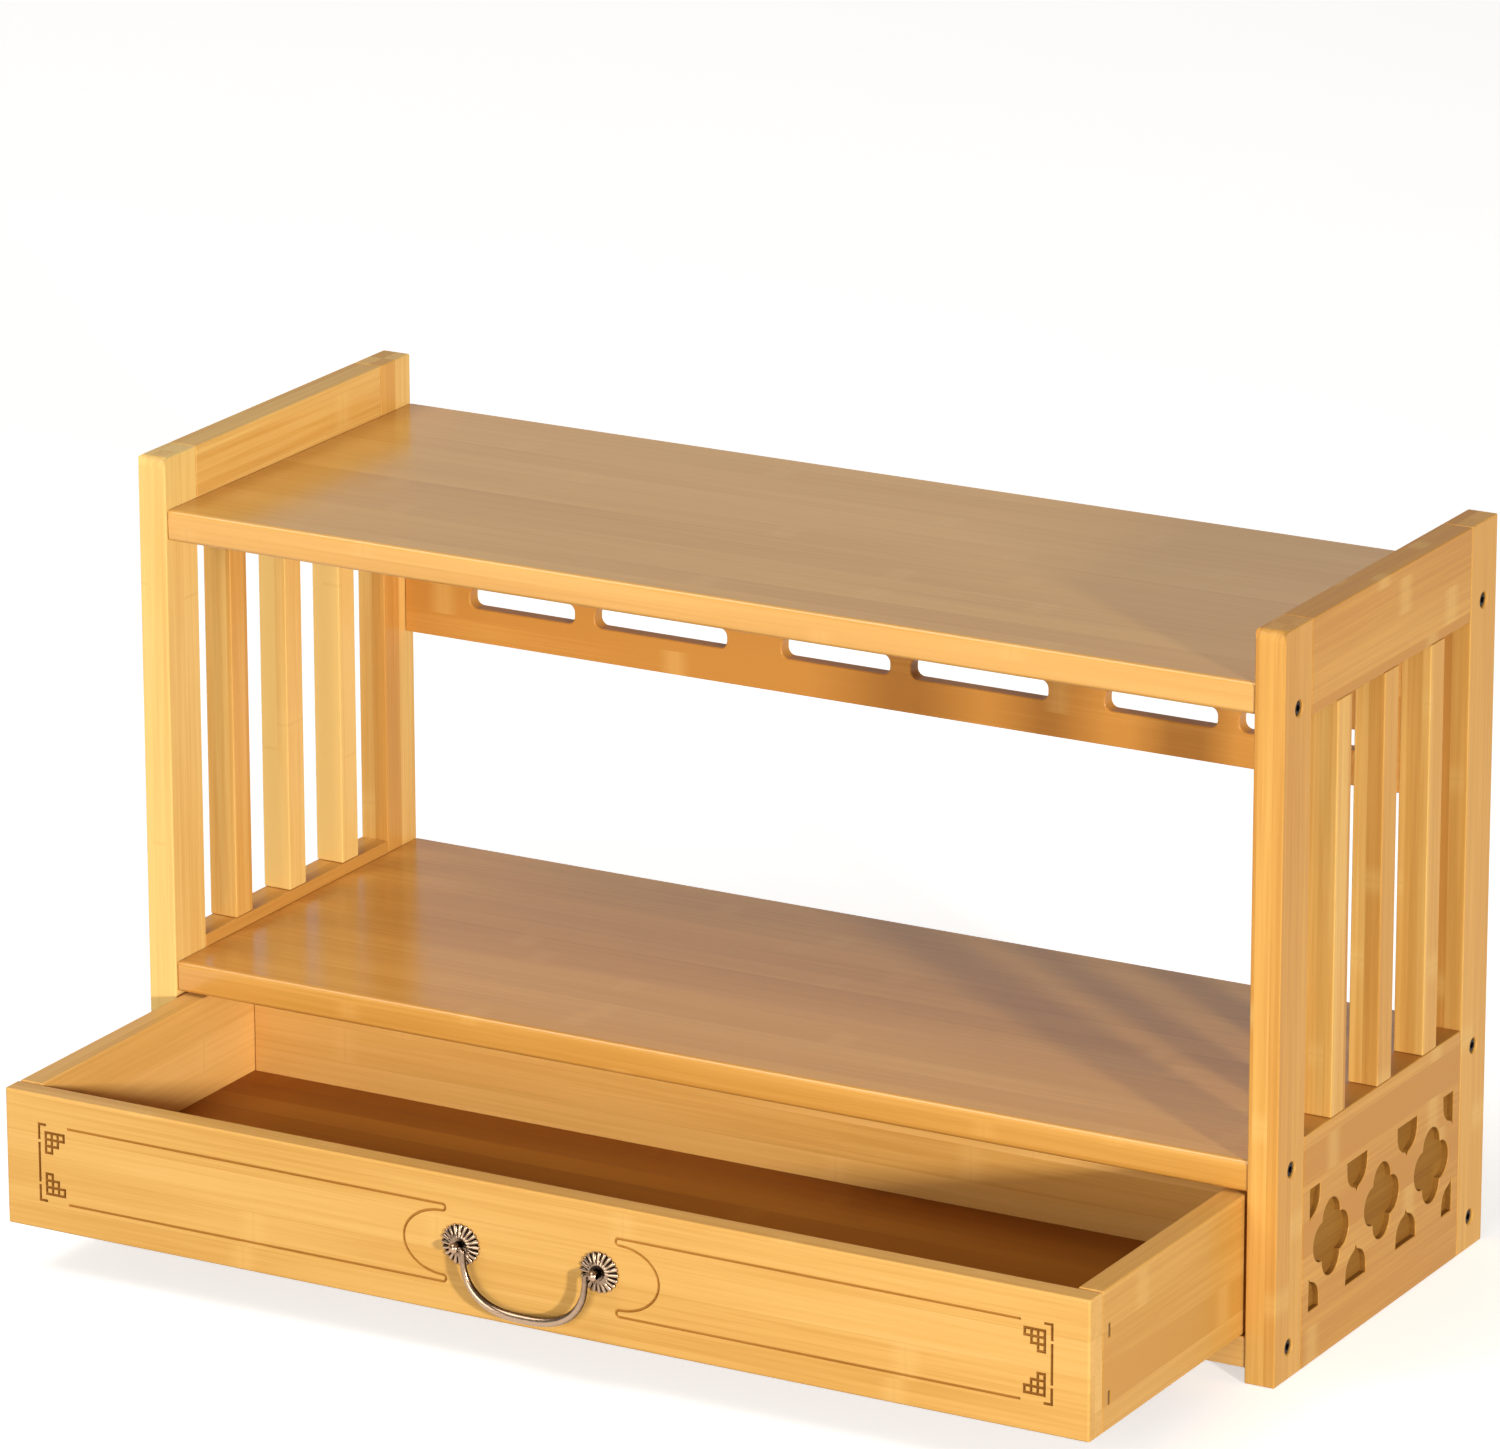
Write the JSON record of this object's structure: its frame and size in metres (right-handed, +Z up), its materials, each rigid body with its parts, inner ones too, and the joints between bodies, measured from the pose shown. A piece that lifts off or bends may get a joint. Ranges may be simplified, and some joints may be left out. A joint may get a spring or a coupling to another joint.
{
  "type": "household altar cabinet",
  "caption": "Bamboo altar cabinet for a table top: slatted end frames carved below, raised shelves, a slotted back board and an engraved drawer with a bail handle.",
  "frame": {"origin": "on the floor, at the middle of the outline of the cabinet with its drawer at rest", "axes": "+X to the right along the length, +Y to the rear, +Z up; the drawer opens towards -Y"},
  "size_m": [0.6, 0.3774, 0.355],
  "materials": {
    "bamboo_frame": "laminated bamboo, straight grain, satin lacquer",
    "bamboo_shelf": "laminated bamboo, straight grain, smooth semi-gloss lacquer",
    "bamboo_drawer": "laminated bamboo, straight grain, satin lacquer",
    "bamboo_drawer_inside": "laminated bamboo, straight grain, thin lacquer",
    "antique_bronze": "cast, reddish antique bronze with bright worn tops and dark hollows",
    "dark_steel": "blackened"
  },
  "bodies": {
    "cabinet": {"left_front_post": "bamboo_frame", "left_rear_post": "bamboo_frame", "left_top_rail": "bamboo_frame", "left_lower_panel": "bamboo_frame", "left_slat_1": "bamboo_frame", "left_slat_2": "bamboo_frame", "left_slat_3": "bamboo_frame", "right_front_post": "bamboo_frame", "right_rear_post": "bamboo_frame", "right_top_rail": "bamboo_frame", "right_lower_panel": "bamboo_frame", "right_slat_1": "bamboo_frame", "right_slat_2": "bamboo_frame", "right_slat_3": "bamboo_frame", "left_front_top_screw": "dark_steel", "left_rear_top_screw": "dark_steel", "left_front_middle_screw": "dark_steel", "left_rear_middle_screw": "dark_steel", "left_front_bottom_screw": "dark_steel", "left_rear_bottom_screw": "dark_steel", "right_front_top_screw": "dark_steel", "right_rear_top_screw": "dark_steel", "right_front_middle_screw": "dark_steel", "right_rear_middle_screw": "dark_steel", "right_front_bottom_screw": "dark_steel", "right_rear_bottom_screw": "dark_steel", "upper_shelf": "bamboo_shelf", "lower_shelf": "bamboo_shelf", "back_board": "bamboo_shelf", "front_bottom_rail": "bamboo_shelf", "rear_bottom_rail": "bamboo_shelf"},
    "drawer": {"drawer_front": "bamboo_drawer", "drawer_left_side": "bamboo_drawer", "drawer_right_side": "bamboo_drawer", "drawer_back": "bamboo_drawer_inside", "drawer_bottom": "bamboo_drawer_inside", "drawer_left_staple_1": "dark_steel", "drawer_left_staple_2": "dark_steel", "drawer_right_staple_1": "dark_steel", "drawer_right_staple_2": "dark_steel", "handle_left_rosette": "antique_bronze", "handle_left_knob": "antique_bronze", "handle_right_rosette": "antique_bronze", "handle_right_knob": "antique_bronze"},
    "bail": {"handle_bail": "antique_bronze"}
  },
  "joints": [
    {"name": "drawer_slide", "type": "slide", "parent": "cabinet", "child": "drawer", "axis": [0, -1, 0], "range_m": [-0.15, 0.03]},
    {"name": "bail_swing", "type": "hinge", "parent": "drawer", "child": "bail", "pos_m": [0, -0.18625, 0.0572], "axis": [-1, 0, 0], "range_deg": [-7, 187]}
  ]
}
